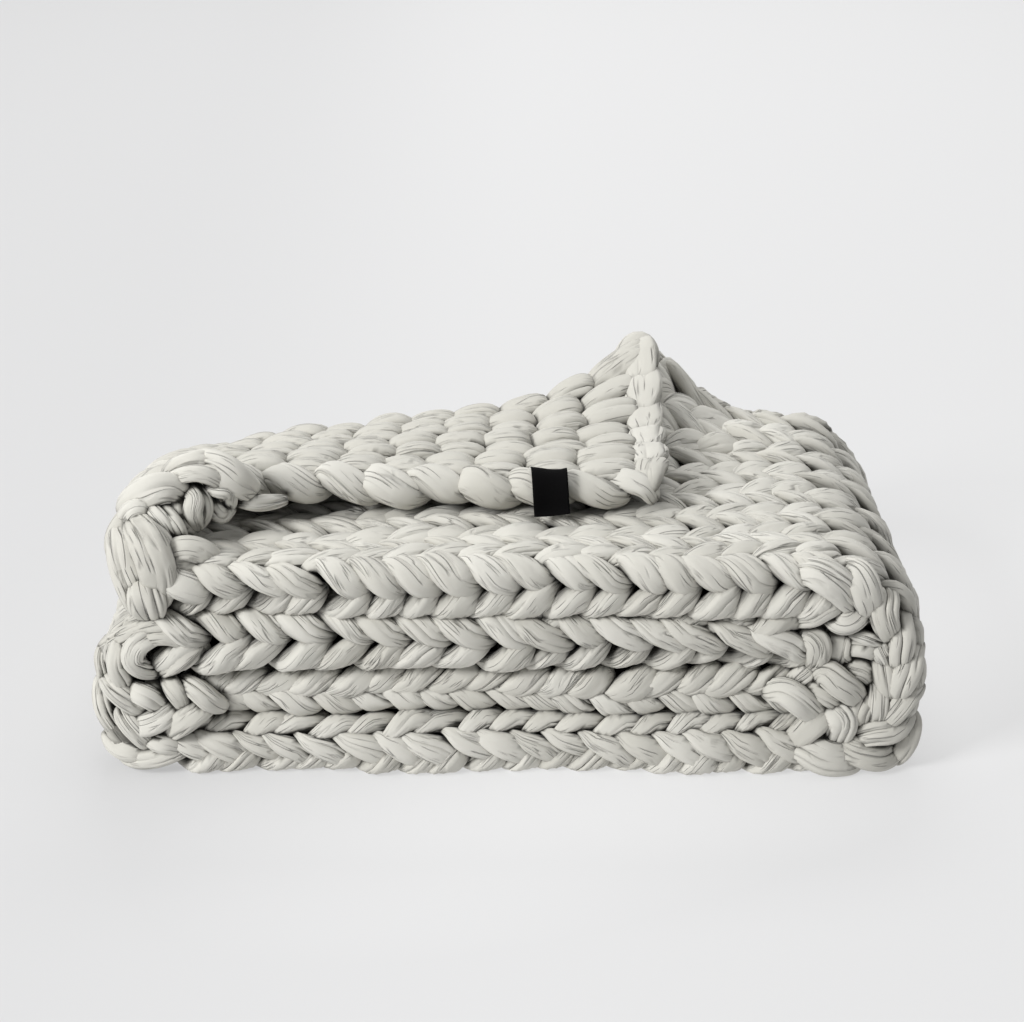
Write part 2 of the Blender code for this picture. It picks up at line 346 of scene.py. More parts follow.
class Yarn:
    """Lengths of plump yarn, gathered into one mesh."""

    def __init__(self, seed):
        self.draw = np.random.default_rng(seed)
        self.points, self.centres, self.faces = [], [], []
        self.around, self.shades, self.crevice_shades = [], [], []
        self.count = 0

    def section(self, share, pinch, creases, between, under, depth, twist):
        """At each ring, angles round the yarn, shares of its size there, and the painted shade in a crease.
        """
        draw = self.draw
        rings = len(share)
        places = (np.arange(creases) + 0.5 + draw.uniform(-0.28, 0.28, creases)) / creases
        drift = twist * draw.uniform(0.4, 1.2) * (share - 0.5)[:, None]
        drift = drift + 0.08 * np.sin(share[:, None] * draw.uniform(3, 6) + draw.uniform(0, 6))
        middle = CREASED_FROM + (CREASED_TO - CREASED_FROM) * places[None, :] + drift
        from_start = draw.uniform(0, 1, creases) < 0.85 - 0.7 * pinch
        reach = draw.uniform(0.20, 0.78, creases)  # how far along the length each crease runs
        inward = np.where(from_start, share[:, None], 1 - share[:, None])
        strength = depth * draw.uniform(0.3, 1.3, creases)
        groove = strength * np.clip(2.2 * (1 - inward / reach), 0, 1)
        angles, radii, crease_shades = [], [], []
        for k in range(creases):
            for offset, deep in ((-SHOULDER, SHOULDER_DEPTH), (0, 1), (SHOULDER, SHOULDER_DEPTH)):
                angles.append(middle[:, k] + offset)
                radii.append(1 - groove[:, k] * deep)
                # painted shade in the crease, deepest at its bottom
                crease_shades.append(CREASE_SHADE * groove[:, k] * max(deep - SHOULDER_DEPTH, 0))
            # The plump yarn between this crease and the next, and round the under side after the last.
            following = middle[:, k + 1] if k + 1 < creases else middle[:, 0] + 2 * pi
            count = between if k + 1 < creases else between + under
            gap = following - middle[:, k] - 2 * SHOULDER
            puff = draw.uniform(0.0, 0.05)
            for m in range(1, count + 1):
                part = m / (count + 1)
                angles.append(middle[:, k] + SHOULDER + gap * part)
                radii.append(1 + puff * np.sin(pi * part) * np.ones(rings))
                crease_shades.append(np.zeros(rings))
        angles, radii, crease_shades = (np.array(rows).T for rows in (angles, radii, crease_shades))
        ripple = np.zeros_like(radii)
        for size in RIPPLES:
            turns, runs, phase = draw.integers(1, 4), draw.uniform(4, 14), draw.uniform(0, 6.3)
            ripple += size * np.sin(turns * angles + runs * share[:, None] + phase)
        return angles, radii + ripple, crease_shades

    def length(
        self, path, outward, wide, thick, lift, roll=0.0, shift=0.0, pinch=1.0,
        creases=4, between=2, under=3, depth=0.26, twist=0.2, squareness=SQUARENESS,
    ):
        """One length of yarn along path. wide and thick are its half sizes at each ring, across and
        along outward, and lift is the path's height over the cloth's middle yarn line. roll leans
        the yarn over and shift moves it sideways. creases run along its outer side from either end,
        most of them from the start where pinch is 0 and from the end where it is 1, drifting round
        by twist."""
        rings = len(path)
        share = np.linspace(0, 1, rings)
        tangent = np.gradient(path, axis=0)
        tangent /= np.linalg.norm(tangent, axis=1, keepdims=True)
        level = np.cross(tangent, outward)
        level /= np.linalg.norm(level, axis=1, keepdims=True)
        upright = np.cross(level, tangent)
        path = path + level * np.broadcast_to(shift, rings)[:, None]
        lean = np.broadcast_to(roll, rings)[:, None]
        sideways = level * np.cos(lean) + upright * np.sin(lean)
        up = upright * np.cos(lean) - level * np.sin(lean)
        angles, radii, crease_shades = self.section(share, pinch, creases, between, under, depth, twist)
        across, rise = np.cos(angles), np.sin(angles)
        square = (np.abs(across) ** squareness + np.abs(rise) ** squareness) ** (-1 / squareness)
        radii = radii * square
        rows = path[:, None, :] + (radii * across * wide[:, None])[:, :, None] * sideways[:, None, :]
        rows = rows + (radii * rise * thick[:, None])[:, :, None] * up[:, None, :]
        # Painted shade: darker where the yarn's surface lies low among other yarn, in its creases, and
        # towards both ends, which dive under other yarn.
        height = np.broadcast_to(lift, rings)[:, None] + radii * rise * thick[:, None]
        crevice_shade = np.clip((TUCK_SHADE_FROM - height) / (TUCK_SHADE_FROM - TUCK_SHADE_TO), 0, 1) ** 1.3
        crevice_shade = crevice_shade + np.clip(crease_shades, 0, 0.8)
        from_end = np.minimum(share, 1 - share)
        crevice_shade += END_SHADE * np.clip(1 - from_end / END_SHARE, 0, 1)[:, None]
        columns = rows.shape[1]
        ends = np.stack([path[0], path[-1]])
        self.points.append(np.concatenate([rows.reshape(-1, 3), ends]))
        self.centres.append(np.concatenate([np.repeat(path, columns, 0), ends]))
        grid = self.count + np.arange(rings * columns).reshape(rings, columns)
        tail, head = self.count + grid.size, self.count + grid.size + 1
        caps = [(tail, grid[0, k], grid[0, (k + 1) % columns]) for k in range(columns)]
        caps += [(head, grid[-1, (k + 1) % columns], grid[-1, k]) for k in range(columns)]
        self.faces.append((tube_faces(grid), np.array(caps)))
        turn = (angles - angles[:, :1]) / (2 * pi)
        stretch = np.concatenate([[0], np.cumsum(np.linalg.norm(np.diff(path, axis=0), axis=1))])
        stretch = np.repeat(stretch[:, None], columns, 1) + self.draw.uniform(0, 5)
        around = np.stack([stretch, turn], -1).reshape(-1, 2)
        self.around.append(np.concatenate([around, around[[0, -1]]]))
        self.shades.append(np.full(grid.size + 2, self.draw.uniform(0, 1)))
        self.crevice_shades.append(np.concatenate([np.clip(crevice_shade, 0, 1).ravel(), [1, 1]]))
        self.count += grid.size + 2

    def piece(self, name, material, settled=True):
        """The lengths laid so far, as one mesh of that name."""
        points, centres = np.concatenate(self.points), np.concatenate(self.centres)
        if settled:
            points, centres = settle(points), settle(centres)
        quads = np.concatenate([q for q, _ in self.faces])
        caps = np.concatenate([c for _, c in self.faces])
        mesh = bpy.data.meshes.new(name)
        mesh.vertices.add(len(points))
        mesh.vertices.foreach_set("co", points.astype(np.float32).ravel())
        corners = np.concatenate([quads.ravel(), caps.ravel()]).astype(np.int32)
        cap_starts = len(quads) * 4 + np.arange(len(caps)) * 3
        starts = np.concatenate([np.arange(len(quads)) * 4, cap_starts])
        mesh.loops.add(len(corners))
        mesh.loops.foreach_set("vertex_index", corners)
        mesh.polygons.add(len(starts))
        mesh.polygons.foreach_set("loop_start", starts.astype(np.int32))
        mesh.update(calc_edges=True)
        mesh.shade_smooth()
        layer = mesh.uv_layers.new(name="along_yarn")
        around = np.concatenate(self.around)[corners]
        layer.data.foreach_set("uv", around.astype(np.float32).ravel())
        # stitch_shade is the yarn's own tone, which differs at random from stitch to stitch; the other
        # attribute holds painted shade.
        for attribute, values in (("stitch_shade", self.shades), ("tucked_in", self.crevice_shades)):
            values_layer = mesh.attributes.new(attribute, "FLOAT", "POINT")
            values_layer.data.foreach_set("value", np.concatenate(values).astype(np.float32))
        mesh.materials.append(material)
        made = add_object(name, mesh)
        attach(made, "root")
        LAID.append((made, points, centres))
        return made


def stone_yarn():
    """Matt cotton tube yarn: a fine jersey surface over soft filling, with faint creases, and painted shade
    in the creases and where yarn lies among other yarn.
    """
    material, add_node, set_surface = new_material("stone_yarn")
    uv = add_node("UVMap", uv_map="along_yarn").outputs["UV"]

    def attribute(name):
        return add_node("Attribute", attribute_name=name).outputs["Fac"]

    def math(operation, a, b, clamp=False):
        return add_node("Math", {0: a, 1: b}, operation=operation, use_clamp=clamp).outputs["Value"]

    def blend(share, a, b):
        return add_node("Mix", {"Factor": share, 6: a, 7: b}, data_type="RGBA").outputs[2]

    def noise_along_yarn(scale, detail, distortion=0.0):
        place = add_node("Mapping", {"Vector": uv, "Scale": scale}).outputs["Vector"]
        inputs = {"Vector": place, "Scale": 1, "Detail": detail, "Distortion": distortion}
        return add_node("TexNoise", inputs, noise_dimensions="2D").outputs["Fac"]

    # Thin drawn lines, where a slow noise passes its middle, present on part of the yarn.
    wander = noise_along_yarn((9, 9, 1), 1)
    off_line = math("ABSOLUTE", math("SUBTRACT", wander, 0.5), 0)
    off_line = math("MULTIPLY", off_line, 30, clamp=True)
    presence = math("SUBTRACT", noise_along_yarn((60, 4, 1), 1), 0.50)
    presence = math("MULTIPLY", presence, 6, clamp=True)
    line = math("MULTIPLY", math("SUBTRACT", 1, off_line), presence)
    swell = noise_along_yarn((45, 6, 1), 2)
    # Small folds, shorter and closer together than the lines.
    ridged = math("ABSOLUTE", math("SUBTRACT", noise_along_yarn((22, 9, 1), 1, 0.3), 0.5), 0)
    some = math("SUBTRACT", noise_along_yarn((38, 5, 1), 1), 0.52)
    some = math("MULTIPLY", some, 7, clamp=True)
    fold = math("MULTIPLY", math("SUBTRACT", 0.045, ridged), 22, clamp=True)
    fold = math("MULTIPLY", fold, some)
    stone = blend(attribute("stitch_shade"), (0.555, 0.541, 0.488, 1), (0.650, 0.636, 0.582, 1))
    # The lines and folds are bumps; their dark colour is painted shade in them.
    line_shade = math("MAXIMUM", math("MULTIPLY", line, 0.35), math("MULTIPLY", fold, 0.28))
    creased = blend(line_shade, stone, (0.22, 0.21, 0.185, 1))
    # Painted shade from the mesh attribute: in creases, among other yarn, and on the strip behind the
    # stitches.
    shade_share = math("MULTIPLY", math("POWER", attribute("tucked_in"), 1.3), 0.97)
    colour = blend(shade_share, creased, (0.045, 0.042, 0.034, 1))
    hollow = math("ADD", line, math("MULTIPLY", fold, 1.3))
    height = math("SUBTRACT", math("MULTIPLY", swell, 1.2), hollow)
    bump = add_node("Bump", {"Strength": 0.9, "Distance": 0.0011, "Height": height})
    set_surface({"Base Color": colour, "Normal": bump.outputs["Normal"]})
    set_surface({"Roughness": 0.88, "Specular IOR Level": 0.22})
    set_surface({"Sheen Weight": 0.12, "Sheen Roughness": 0.55})
    return material


yarn_material = stone_yarn()

# Stitches. Each row of a table is a place along one leg of a stitch: course and wale count from where
# the leg starts, lift is over the cloth's middle yarn line, girth is a share of the yarn's full size,
# and roll is how far it leans over, in radians. A leg starts over or under the one before it.
Bend = namedtuple("Bend", "course wale lift girth roll")
LEG_OVER = (
    Bend(-0.28, -0.04, -0.0036, 0.12, 0.2),
    Bend(-0.12, 0.02, 0.0010, 0.38, 0.3),
    Bend(0.12, 0.10, 0.0026, 0.74, 0.3),
    Bend(0.50, 0.24, 0.0020, 1.06, 0.3),
    Bend(0.90, 0.38, -0.0010, 1.06, 0.3),
    Bend(1.18, 0.47, -0.0062, 0.74, 0.2),
    Bend(1.38, 0.52, -0.0130, 0.26, 0.0),
)
LEG_UNDER = (
    Bend(-0.28, -0.04, -0.0110, 0.36, 0.0),
    Bend(-0.11, -0.01, -0.0058, 0.72, 0.2),
    Bend(0.12, 0.06, -0.0014, 1.00, 0.3),
    Bend(0.48, 0.22, 0.0016, 1.08, 0.3),
    Bend(0.86, 0.37, 0.0030, 0.90, 0.3),
    Bend(1.16, 0.48, 0.0020, 0.50, 0.3),
    Bend(1.34, 0.55, -0.0030, 0.16, 0.2),
)


def smooth_run(rows, count):
    """count points on a smooth curve through the rows, closer together at its two ends."""
    rows = np.array(rows, float)
    padded = np.concatenate([[2 * rows[0] - rows[1]], rows, [2 * rows[-1] - rows[-2]]])
    share = (1 - np.cos(np.linspace(0, pi, count))) / 2
    share = 0.55 * share + 0.45 * np.linspace(0, 1, count)
    place = share * (len(rows) - 1)
    start = np.minimum(place.astype(int), len(rows) - 2)
    t = (place - start)[:, None]
    a, b, c, d = (padded[start + k] for k in range(4))
    return 0.5 * (2 * b + (c - a) * t + (2 * a - 5 * b + 4 * c - d) * t**2 + (3 * b - a - 3 * c + d) * t**3)


def lies_over(distance):
    """1 where each stitch starts on top of the one before it, and 0 where it starts under it. It
    changes in each of the first three folds."""
    turnings = distance_at(1) + 0.03, distance_at(3) + 0.05, distance_at(6) + 0.01
    first, second, third = (ease(distance, place - 0.01, place + 0.01) for place in turnings)
    return 1 - first + second - third


def lay_leg(
    yarn, distance, course, wale, side, reach,
    half_width=0.0098, half_depth=0.0074, rings=22, sink=0.0, relief=1.0, **look,
):
    """One leg of a stitch, on the side of its wale that side says. reach stretches it across the
    cloth, sink lowers it, relief scales its rise and fall, and look goes to Yarn.length."""
    draw = yarn.draw
    over_first, over_last = lies_over(distance), lies_over(distance + course)
    over = np.linspace(over_first, over_last, len(LEG_OVER))[:, None]
    run = smooth_run(over * np.array(LEG_OVER) + (1 - over) * np.array(LEG_UNDER), rings)
    length = draw.uniform(0.97, 1.24)
    lean = reach * draw.uniform(0.88, 1.16)
    along = distance + course * (run[:, 0] * length + draw.uniform(-0.08, 0.08))
    across = wale + side * (run[:, 1] * lean + draw.uniform(-0.03, 0.03))
    lift = relief * run[:, 2] + draw.uniform(-0.0014, 0.0014) - sink
    path, outward = on_cloth(np.clip(along, 0, ROUTE_LENGTH), across, lift)
    girth = run[:, 3] * draw.uniform(0.86, 1.12)
    leaning = side * (2 * over_first - 1)
    roll = leaning * run[:, 4] * draw.uniform(0.5, 1.5)
    shift = -leaning * 0.32 * half_width * girth
    pinch = (over_first + over_last) / 2
    yarn.length(path, outward, half_width * girth, half_depth * girth, lift, roll, shift, pinch, **look)


def courses(start, end, pitch, draw, jitter=0.11):
    """Distances along the route at which the courses start, a little uneven."""
    count = max(round((end - start) / pitch), 1)
    even = start + (end - start) * np.arange(count) / count
    step = (end - start) / count
    return [(d + draw.uniform(-jitter, jitter) * step, step) for d in even]


# The layers and folds. Stockinette, right side out: two legs to a stitch, course after course, with
# the wales that show from the front finely made and those out of sight plainly. centres is how far
# the middle wale wanders from the front edge's middle, in wales, along the stretch.
Stretch = namedtuple("Stretch", "name first last pitch centres reach half_width wales")
FOLDS = ("left_fold", "right_fold", "heart_fold")
LATE = ("bottom_layer", "heart_layer")  # where one leg of each stitch starts later than the other
ALL_WALES = tuple(range(WALES + 1))
EDGE_WALES = (0, 1, WALES - 1, WALES)
NARROW_WALES = tuple(0.8 * k for k in range(11))
stretches = (
    Stretch("heart_layer", 0, 1, 0.0235, (0.03, 0.03, 0.03), 1.06, 0.0090, EDGE_WALES),
    Stretch("heart_fold", 1, 2, 0.024, (0, 0, 0), 1.0, 0.0092, EDGE_WALES),
    Stretch("second_layer", 2, 3, 0.0276, (-0.30, -0.02, 0.06), 1.05, 0.0092, EDGE_WALES),
    Stretch("left_fold", 3, 4, 0.025, (-0.08, -0.08, -0.08), 1.0, 0.0092, ALL_WALES),
    Stretch("bottom_layer", 4, 6, 0.024, (-0.25, -0.25, -0.25), 1.04, 0.0084, NARROW_WALES),
    Stretch("right_fold", 6, 7, 0.0265, (-0.10, -0.10, -0.10), 1.0, 0.0096, ALL_WALES),
    Stretch("top_layer_right", 7, 8, 0.026, (0.04, 0.02, -0.02), 1.0, 0.0094, ALL_WALES),
    Stretch("top_layer_left", 8, 9, 0.026, (-0.02, -0.08, -0.20), 1.0, 0.0094, ALL_WALES),
)


def leg_look(stretch, number, side):
    """How a leg is made: number counts the stretch's wales from the front edge's middle back."""
    if number == 0 or (number, side) == (1, -1) and stretch.name not in FOLDS:
        return dict(rings=26, creases=6, between=1, sink=-0.0008, half_width=stretch.half_width)
    if stretch.name.startswith("top_layer") and number < 6:
        look = dict(rings=19, creases=5, between=1, under=2, sink=0.0008, half_width=0.0102)
        return dict(look, half_depth=0.0050, relief=0.8)
    if stretch.name == "top_layer_right":
        return dict(rings=20, creases=6, between=1, under=1, sink=0.0020, half_width=0.0098)
    hidden = stretch.name == "bottom_layer" and 1 < number < 10 or stretch.wales == EDGE_WALES
    look = dict(rings=17, creases=4, between=1, under=2)
    if hidden:
        look = dict(rings=9, creases=2, between=2, under=1)
    return dict(look, sink=0.0035, half_width=stretch.half_width)


for seed, stretch in enumerate(stretches):
    yarn = Yarn(seed)
    start, end = distance_at(stretch.first), distance_at(stretch.last)
    for distance, course in courses(start, end, stretch.pitch, yarn.draw):
        centre = np.interp((distance - start) / (end - start), (0, 0.5, 1), stretch.centres)
        for number, wale in enumerate(stretch.wales):
            if number == 0 and stretch.name in FOLDS:
                continue
            for side in (1, -1):
                late = 0.38 * course if side == -1 and stretch.name in LATE else 0.0
                look = leg_look(stretch, number, side)
                lay_leg(yarn, distance + late, course, wale + centre, side, stretch.reach, **look)
    yarn.piece(stretch.name, yarn_material)

# The flap and the bend that leads into it. Here the wrong side shows: rows of plump bumps, each row
# set on from the one before it, and along the flap's front edge one row of long, leaning legs. The
# flap takes the place of the blanket's solid, and the whole cloth's dense middle is made here too.
BUMP = (
    Bend(-0.03, -0.05, -0.0120, 0.36, 0.0),
    Bend(0.05, -0.04, -0.0020, 0.74, 0.0),
    Bend(0.22, -0.02, 0.0012, 0.97, 0.0),
    Bend(0.50, 0.00, 0.0024, 1.05, 0.0),
    Bend(0.76, 0.04, 0.0022, 1.00, 0.0),
    Bend(0.89, 0.06, 0.0006, 0.80, 0.0),
    Bend(0.94, 0.07, -0.0096, 0.46, 0.0),
)
EDGE_LEG = (
    Bend(-0.10, -0.50, -0.0050, 0.56, 0.0),
    Bend(-0.02, -0.46, 0.0006, 0.92, 0.0),
    Bend(0.20, -0.34, 0.0024, 1.06, 0.1),
    Bend(0.62, -0.10, 0.0016, 1.02, 0.2),
    Bend(0.98, 0.10, -0.0018, 0.78, 0.2),
    Bend(1.24, 0.24, -0.0064, 0.48, 0.2),
    Bend(1.42, 0.32, -0.0120, 0.20, 0.2),
)
BLUNT_LEG = EDGE_LEG[:4] + (
    Bend(0.96, 0.08, 0.0004, 0.88, 0.2),
    Bend(1.20, 0.14, -0.0006, 0.66, 0.2),
    Bend(1.32, 0.15, -0.0014, 0.34, 0.2),
)


def lay_bump(yarn, distance, course, wale, table, half_width, half_depth, rings=20, sink=0.0, **look):
    """One plump bump of the cloth's wrong side, or one leg of its edge, after a table of bends."""
    draw = yarn.draw
    run = smooth_run(table, rings)
    along = distance + course * (run[:, 0] * draw.uniform(0.92, 1.06) + draw.uniform(-0.06, 0.06))
    across = wale + run[:, 1] * draw.uniform(0.80, 1.30) + draw.uniform(-0.07, 0.07)
    lift = run[:, 2] + draw.uniform(-0.0018, 0.0014) - sink
    path, outward = on_cloth(np.clip(along, 0, ROUTE_LENGTH), across, lift)
    girth = run[:, 3] * draw.uniform(0.88, 1.12)
    roll = run[:, 4] + draw.uniform(-0.16, 0.16)
    yarn.length(path, outward, half_width * girth, half_depth * girth, lift, roll, 0.0, **look)


def cloth_core(name, first, last, spacing=0.008):
    """The dense middle of the knitting: a closed strip behind the stitches, seen between them, painted in
    full shade.
    """
    distances = np.arange(first, last, spacing)
    deep = 0.5 * (np.interp(distances, ALONG[0], ALONG[7]) / 2 - YARN_RISE)
    edge = np.linspace(0, 1, 9)[1:-1]
    rows = []
    for side in (1, -1):
        wales = side * WALES * edge
        point, outward = on_cloth(distances[:, None], wales[None, :], -deep[:, None])
        rows.append(point if side == 1 else point[:, ::-1])
    ring = settle(np.concatenate(rows, 1).reshape(-1, 3))
    count = 2 * len(edge)
    grid = np.arange(len(distances) * count).reshape(-1, count)
    caps = [grid[0].tolist(), grid[-1, ::-1].tolist()]
    mesh = bpy.data.meshes.new(name)
    mesh.from_pydata(ring.tolist(), [], tube_faces(grid).tolist() + caps)
    mesh.shade_smooth()
    # The strip's colour is painted full shade, for the deep shadow between the stitches.
    dark = mesh.attributes.new("tucked_in", "FLOAT", "POINT")
    dark.data.foreach_set("value", np.ones(len(ring), np.float32))
    mesh.materials.append(yarn_material)
    made = add_object(name, mesh)
    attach(made, "root")


CORE_INSET = 0.012  # from either end of the cloth
cloth_core("cloth_middle", CORE_INSET, ROUTE_LENGTH - CORE_INSET)

FLAP_PITCH, BEND_PITCH = 0.033, 0.026
ROW_SHIFT, ODD_SHIFT = 0.07, 0.16  # how far on each row starts, and each second one, in courses
WIDEST = 1.24  # the last bump of each row reaches on under the cast-off edge
BUMP_SHADE = 0.2  # the bumps keep to the darker tones of the yarn, painted shade that dims the flap's top
EDGE_LOOK = dict(half_width=0.0112, half_depth=0.0082, rings=28, creases=6, between=1)
FLAP_LOOK = dict(half_width=0.0127, half_depth=0.0092, sink=0.0012, creases=5, between=1, squareness=2.3)
BEND_LOOK = dict(half_width=0.0155, half_depth=0.0096, sink=0.0020, creases=4, between=2)
flap = Yarn(20)
edge_courses = courses(distance_at(10), ROUTE_LENGTH - FLAP_PITCH, FLAP_PITCH, flap.draw, jitter=0.04)
for number, (distance, course) in enumerate(edge_courses):
    last = number + 1 == len(edge_courses)
    lay_bump(flap, distance, course, 0, BLUNT_LEG if last else EDGE_LEG, **EDGE_LOOK)
    for row in range(1, 8):
        shift = course * (ROW_SHIFT * row + ODD_SHIFT * (row % 2))
        starts = [distance + shift]
        if number == 0 and shift > 0.2 * course:
            starts.insert(0, distance + shift - course)
        for start in starts:
            lay_bump(flap, start, course * WIDEST if last else course, -row, BUMP, **FLAP_LOOK)
            # painted shade: the bumps take only the darker tones
            flap.shades[-1] *= BUMP_SHADE
flap_piece = flap.piece("flap", yarn_material)
bend = Yarn(21)
for distance, course in courses(distance_at(9), distance_at(10), BEND_PITCH, bend.draw, jitter=0.04):
    for row in range(9):
        lay_bump(bend, distance, course, -row, BUMP, **BEND_LOOK)
bend.piece("flap_bend", yarn_material)
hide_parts("blanket")

# The cast-off edge. The last stitches of the flap are bound off in a flat chain and sewn down along
# its end, from the front corner to the raised one at the back: flat lengths of yarn, each tapering
# away under the next. The chain lies lower at the front corner, and is drawn in at both.
band = Yarn(22)
PLACES = 24  # rings of yarn along each length
BAND_STEP, BAND_LENGTH = 1.15, 2.1  # in wales
BAND_WIDTH, BAND_DEPTH, BAND_INSET = 0.0135, 0.0062, 0.006
for wale in np.arange(0.10, -6.0, -BAND_STEP):
    share = np.linspace(0, 1, PLACES)
    wales = wale - BAND_LENGTH * share
    swell = np.sin(pi * (0.07 + 0.87 * share)) ** 0.6 * (1 + 0.08 * np.sin(9 * share + 2 * wale))
    lift = 0.0034 + 0.0008 * ease(share, 0.5, 0.0) - 0.0060 * ease(share, 0.5, 1.0)
    lift = lift - 0.008 * ease(-wales, 0.9, -0.1)
    place = ROUTE_LENGTH - BAND_INSET + 0.006 * (share - 0.5)
    place = place - 0.012 * ease(-wales, 6.0, 8.4) - 0.005 * ease(-wales, 1.6, 0)
    path, outward = on_cloth(place, wales, lift)
    band.length(
        path, outward, BAND_WIDTH * swell, BAND_DEPTH * swell, lift, 0.10, 0.0, 0.6,
        creases=5, between=2, depth=0.13,
    )
band.piece("cast_off_edge", yarn_material)

# The two ends. Where the layers turn, the yarn of the front edge twists, doubles up and knots, so
# these lengths are laid one by one. A row of a table is one of them: its half width, half depth and
# number of pleats, and the places that it passes through, in millimetres in the frame.
Strand = namedtuple("Strand", "width depth pleats path")


def lay_strands(name, seed, strands, facing=(0.0, -0.92, 0.39)):
    """The strands as one piece, each with its creased side towards facing and its ends tapered."""
    yarn = Yarn(seed)
    for strand in map(Strand._make, strands):
        path = smooth_run(strand.path, PLACES) / 1000
        share = np.linspace(0, 1, PLACES)
        swell = np.sin(pi * (0.10 + 0.79 * share)) ** 0.6
        outward = np.broadcast_to(np.array(facing), path.shape)
        wide, thick = strand.width / 1000 * swell, strand.depth / 1000 * swell
        pinch = yarn.draw.uniform(0.2, 0.8)
        yarn.length(
            path, outward, wide, thick, 0.003, 0.0, 0.0, pinch,
            creases=strand.pleats + 1, between=1, depth=0.34,
        )
    yarn.piece(name, yarn_material, settled=False)


LEFT_TOP = (
    (12, 9, 7, ((-264, -112, 174), (-262, -132, 165), (-259, -138, 149), (-254, -140, 132),
        (-250, -134, 117))),
    (13, 9, 8, ((-256, -122, 180), (-246, -140, 175), (-240, -146, 163), (-237, -146, 147),
        (-240, -138, 124))),
    (13, 8, 8, ((-250, -140, 143), (-247, -148, 138), (-245, -150, 130), (-244, -142, 117))),
    (8, 7, 6, ((-252, -118, 178), (-245, -131, 177), (-236, -135, 170), (-230, -130, 156))),
    (6, 6, 5, ((-249, -112, 189), (-240, -124, 185), (-234, -128, 178), (-230, -124, 165))),
    (6, 6, 5, ((-241, -110, 188), (-232, -122, 183), (-226, -126, 176), (-223, -120, 162))),
    (9, 7, 5, ((-236, -126, 156), (-224, -136, 165), (-214, -136, 165), (-205, -132, 158),
        (-200, -124, 146))),
)
LEFT_ROLL = (
    (9, 8, 5, ((-271, -108, 144), (-268, -118, 163), (-263, -118, 175), (-256, -110, 184))),
    (8, 7, 4, ((-264, -110, 168), (-258, -120, 183), (-251, -122, 188), (-244, -116, 182))),
    (11, 8, 7, ((-266, -104, 178), (-254, -114, 192), (-242, -116, 199), (-231, -112, 199),
        (-222, -104, 190))),
    (10, 7, 6, ((-238, -88, 194), (-226, -96, 206), (-214, -98, 211), (-204, -92, 208))),
    (6, 5, 4, ((-237, -98, 197), (-225, -108, 206), (-212, -110, 209), (-201, -106, 203), (-194, -96, 191))),
    (8, 7, 5, ((-226, -98, 192), (-229, -110, 186), (-226, -116, 177), (-217, -112, 167))),
    (7, 7, 5, ((-222, -96, 193), (-215, -112, 191), (-216, -116, 183), (-214, -110, 169))),
    (6, 6, 4, ((-217, -94, 194), (-210, -106, 189), (-209, -110, 180), (-216, -104, 166))),
    (6, 6, 4, ((-209, -92, 193), (-201, -104, 195), (-193, -102, 192), (-192, -96, 179))),
    (6, 6, 4, ((-206, -94, 185), (-203, -104, 181), (-198, -102, 175), (-192, -94, 178))),
    (12, 8, 8, ((-224, -80, 203), (-210, -94, 209), (-197, -100, 207), (-186, -98, 198), (-177, -88, 187))),
    (6, 5, 4, ((-196, -82, 180), (-182, -92, 181), (-172, -90, 179), (-156, -80, 177))),
)
LEFT_BEND = (
    (7, 6, 6, ((-282, -130, 88), (-265, -143, 103), (-250, -147, 111), (-238, -146, 114), (-226, -138, 113))),
    (9, 7, 6, ((-280, -126, 80), (-261, -144, 101), (-245, -149, 108), (-230, -148, 108), (-217, -144, 99),
        (-210, -136, 88))),
    (8, 7, 8, ((-236, -140, 104), (-246, -151, 105), (-254, -153, 100), (-257, -152, 90), (-252, -148, 81),
        (-243, -140, 74))),
    (7, 6, 5, ((-240, -142, 75), (-229, -150, 86), (-221, -150, 93), (-212, -142, 98))),
    (7, 7, 5, ((-265, -134, 101), (-268, -146, 94), (-269, -149, 83), (-266, -146, 71), (-263, -138, 56))),
    (5, 6, 4, ((-278, -122, 93), (-282, -132, 83), (-281, -134, 71), (-280, -130, 56))),
)
LEFT_LOW = (
    (8, 7, 6, ((-280, -132, 68), (-273, -146, 66), (-265, -149, 60), (-257, -146, 52), (-250, -138, 42))),
    (8, 7, 6, ((-266, -138, 62), (-255, -149, 63), (-247, -150, 59), (-240, -142, 48))),
    (7, 7, 5, ((-238, -136, 70), (-232, -148, 67), (-228, -149, 61), (-225, -140, 46))),
    (6, 6, 4, ((-249, -130, 69), (-246, -140, 63), (-243, -141, 54), (-242, -136, 44))),
    (8, 7, 7, ((-227, -138, 68), (-218, -148, 67), (-210, -150, 61), (-204, -146, 54), (-199, -136, 46))),
    (9, 7, 6, ((-266, -138, 34), (-254, -149, 38), (-244, -150, 42), (-236, -147, 47), (-228, -138, 50))),
    (9, 7, 6, ((-241, -138, 25), (-231, -149, 37), (-221, -150, 45), (-213, -147, 50), (-205, -138, 52))),
    (7, 7, 5, ((-286, -118, 60), (-284, -132, 50), (-280, -136, 38), (-273, -134, 22))),
    (8, 7, 6, ((-270, -140, 48), (-264, -148, 41), (-257, -149, 32), (-250, -140, 18))),
    (7, 7, 5, ((-284, -128, 21), (-273, -140, 16), (-263, -144, 14), (-252, -140, 11))),
    (9, 7, 4, ((-279, -112, 50), (-276, -124, 38), (-270, -128, 26), (-260, -124, 18))),
    (7, 6, 5, ((-256, -140, 28), (-245, -148, 25), (-236, -148, 22), (-224, -140, 15))),
    (8, 6, 6, ((-272, -136, 8), (-259, -145, 10), (-245, -147, 13), (-232, -145, 17), (-221, -138, 19))),
)
